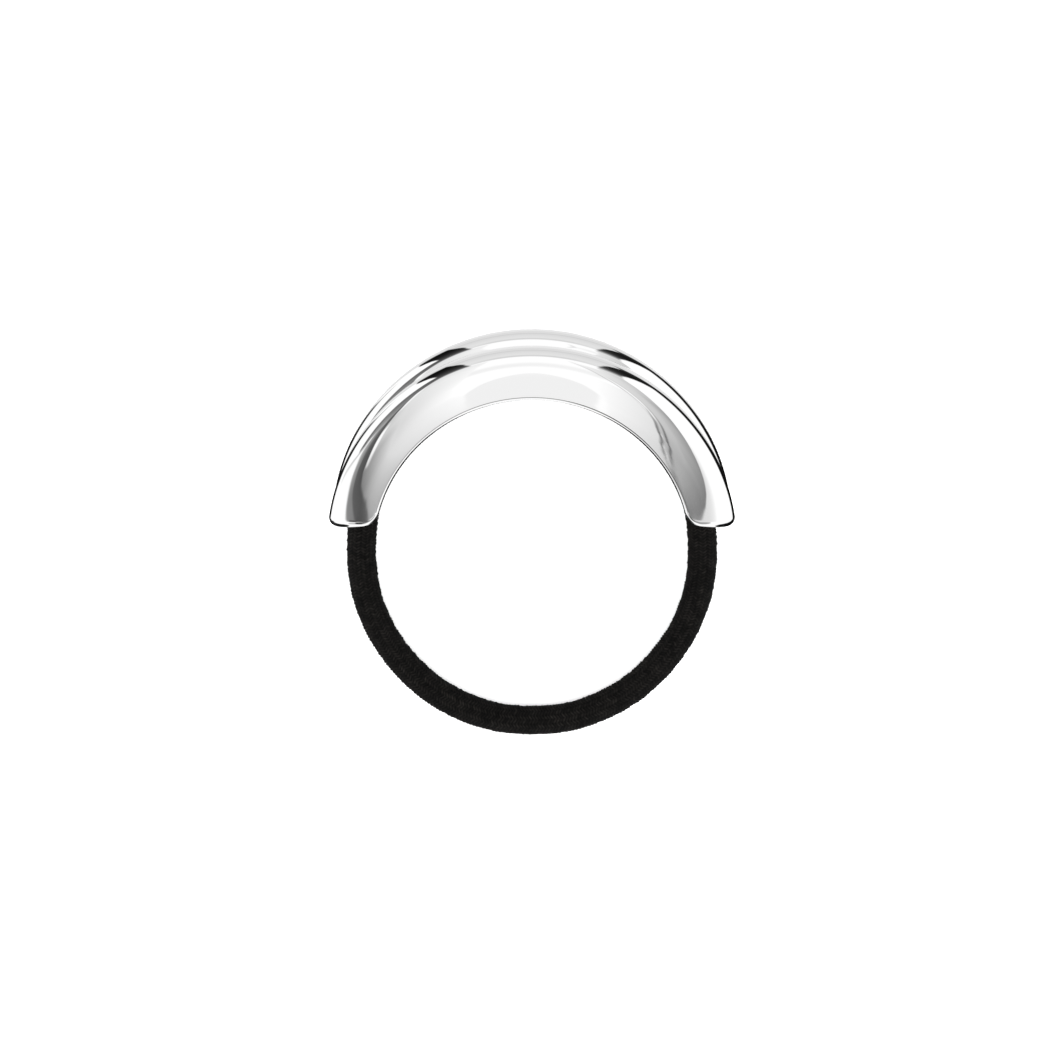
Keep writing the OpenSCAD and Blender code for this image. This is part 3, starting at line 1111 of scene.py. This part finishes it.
@dataclass
class Studio:
    """Camera, floor, soft light, and the light tent that the polished metal mirrors, in millimetres."""

    tilt_deg: float = 14.71
    distance: float = 419.8
    frame_px: float = 1063.0
    focal_px: float = 3089.2
    rise: float = 0.71
    aside: float = -0.061
    tent_r: float = 3000.0
    tent_light: float = 1.08
    sky_light: float = 2.6
    sensor_mm: float = 36.0
    clip: tuple[float, float] = (10.0, 20000.0)
    floor_half: float = 1500.0
    floor_z: float = -0.02

    def camera(self) -> bpy.types.Object:
        """Sets the camera at the photograph's angle: above the cuff, tilted towards its metal side.

        Returns:
            The camera object. Its lens is the focal length in pixels over the frame's side, times the sensor.
        """
        tilt = math.radians(self.tilt_deg)
        back = Vector((0, math.sin(tilt), math.cos(tilt)))
        up = Vector((0, math.cos(tilt), -math.sin(tilt)))
        place = Vector((self.aside, AXIS_Y, MID_Z)) + self.distance * back + self.rise * up
        data = bpy.data.cameras.new("camera")
        data.sensor_fit = "HORIZONTAL"
        data.sensor_width = self.sensor_mm
        data.lens = self.focal_px / self.frame_px * self.sensor_mm
        data.clip_start, data.clip_end = (distance * MM for distance in self.clip)
        camera = bpy.data.objects.new("camera", data)
        turn = Matrix((up.cross(back), up, back)).transposed().to_4x4()
        camera.matrix_world = Matrix.Translation(place * MM) @ turn
        bpy.context.scene.collection.objects.link(camera)
        bpy.context.scene.camera = camera
        return camera

    def sky(self) -> None:
        """Lights everything evenly from a plain white surround, and keeps the photograph's plain contrast."""
        world = bpy.data.worlds.new("white_studio")
        world.use_nodes = True
        tree = world.node_tree
        tree.nodes.clear()
        light = {"Color": linear("#ffffff"), "Strength": self.sky_light}
        glow = add_node(tree, "ShaderNodeBackground", light)
        add_node(tree, "ShaderNodeOutputWorld", {"Surface": glow.outputs["Background"]})
        bpy.context.scene.world = world
        bpy.context.scene.view_settings.view_transform = "Standard"

    def floor(self) -> bpy.types.Object:
        """Lays a plain pale floor. The metal mirrors the light tent instead of it.

        Returns:
            The floor.
        """
        material, tree = new_material("pale_paper_floor")
        paper = add_node(tree, "ShaderNodeBsdfDiffuse", {"Color": linear("#f8f8f8"), "Roughness": 0.5})
        add_node(tree, "ShaderNodeOutputMaterial", {"Surface": paper.outputs["BSDF"]})
        corners = np.array([(-1, -1, 0), (1, -1, 0), (1, 1, 0), (-1, 1, 0)]) * self.floor_half
        corners += [0, 0, self.floor_z]
        floor = make_piece("floor", corners, np.array([[0, 1, 2, 3]]), [material])
        floor.visible_glossy = False
        return floor

    def _tent_shade(self, around: np.ndarray, down: np.ndarray) -> np.ndarray:
        """Lays the tent's patches over its white cloth, one after the other.

        A patch covers a point by the product of four eased steps: one at each edge and one at each end. The
        grey moves towards the patch's own, which runs evenly from edge to edge, by that share. Each patch
        is laid a second time a full turn on, for the part that reaches past the grid's seam.

        Args:
            around: Angles round the tent's pole, in degrees.
            down: Angles from its front pole, in degrees.

        Returns:
            The light of each point as a linear value.
        """
        grey = np.full_like(around, 255.0)
        for patch in TENT:
            rows = [(*row[:4], row[-1]) for row in patch.rows]
            place, low, high, low_shade, high_shade = np.array(rows, float).T
            for turned in (around, around + 360):
                along, across = (down, turned) if patch.run is Run.DOWN else (turned, down)
                low_edge, high_edge = np.interp(along, place, low), np.interp(along, place, high)
                share = (
                    smooth_step((across - low_edge) / patch.soft[0] + 0.5)
                    * smooth_step((high_edge - across) / patch.soft[1] + 0.5)
                    * smooth_step((along - place[0]) / patch.ends[0] + 0.5)
                    * smooth_step((place[-1] - along) / patch.ends[1] + 0.5)
                )
                part = np.clip((across - low_edge) / (high_edge - low_edge), 0, 1)
                low_grey, high_grey = np.interp(along, place, low_shade), np.interp(along, place, high_shade)
                grey += (low_grey * (1 - part) + high_grey * part - grey) * share
        return linear_light(grey)

    def tent(self) -> bpy.types.Object:
        """Hangs the light tent: a far white dome with its grey and black cloths, seen only in the metal.

        A point is the pole times the cosine of its angle off the pole, plus the sine times its direction
        round the pole.

        Returns:
            The dome, whose light is an attribute of its points.
        """
        around, down = (
            np.concatenate([np.arange(*stretch) for stretch in steps]) for steps in (AROUND_STEPS, DOWN_STEPS)
        )
        off, turn = (np.radians(angle) for angle in np.meshgrid(down, around, indexing="ij"))
        tilt = math.radians(self.tilt_deg)
        pole = np.array([0, -math.sin(tilt), math.cos(tilt)])
        above = np.array([0, math.cos(tilt), math.sin(tilt)])
        points = (
            np.cos(off)[..., None] * pole
            + (np.sin(off) * np.cos(turn))[..., None] * np.array([1.0, 0, 0])
            + (np.sin(off) * np.sin(turn))[..., None] * above
        ) * self.tent_r + [0, AXIS_Y, MID_Z]
        material, tree = new_material("light_tent")
        light = add_node(tree, "ShaderNodeAttribute", settings={"attribute_name": "light"})
        shine = {"Color": light.outputs["Color"], "Strength": self.tent_light}
        glow = add_node(tree, "ShaderNodeEmission", shine)
        add_node(tree, "ShaderNodeOutputMaterial", {"Surface": glow.outputs["Emission"]})
        material.cycles.emission_sampling = "NONE"
        tent = make_piece("light_tent", points.reshape(-1, 3), grid_quads(len(down), len(around)), [material])
        values = self._tent_shade(np.degrees(turn), np.degrees(off))
        shade = tent.data.attributes.new("light", "FLOAT", "POINT")
        shade.data.foreach_set("value", values.ravel().astype(np.float32))
        for ray in ("camera", "diffuse", "transmission", "volume_scatter", "shadow"):
            setattr(tent, f"visible_{ray}", False)
        return tent


def main() -> None:
    """Builds the studio and the pieces in order."""
    logging.basicConfig(level=logging.INFO, format="%(message)s")
    studio = Studio()
    studio.camera()
    built = [ElasticLoop().build(), CrimpSleeve().build(), Cuff().build()]
    for piece in built:
        piece.data.calc_loop_triangles()
        LOG.info("%s: %d triangles", piece.name, len(piece.data.loop_triangles))
    studio.sky()
    studio.floor()
    studio.tent()
    bpy.context.view_layer.update()


if __name__ == "__main__":
    main()
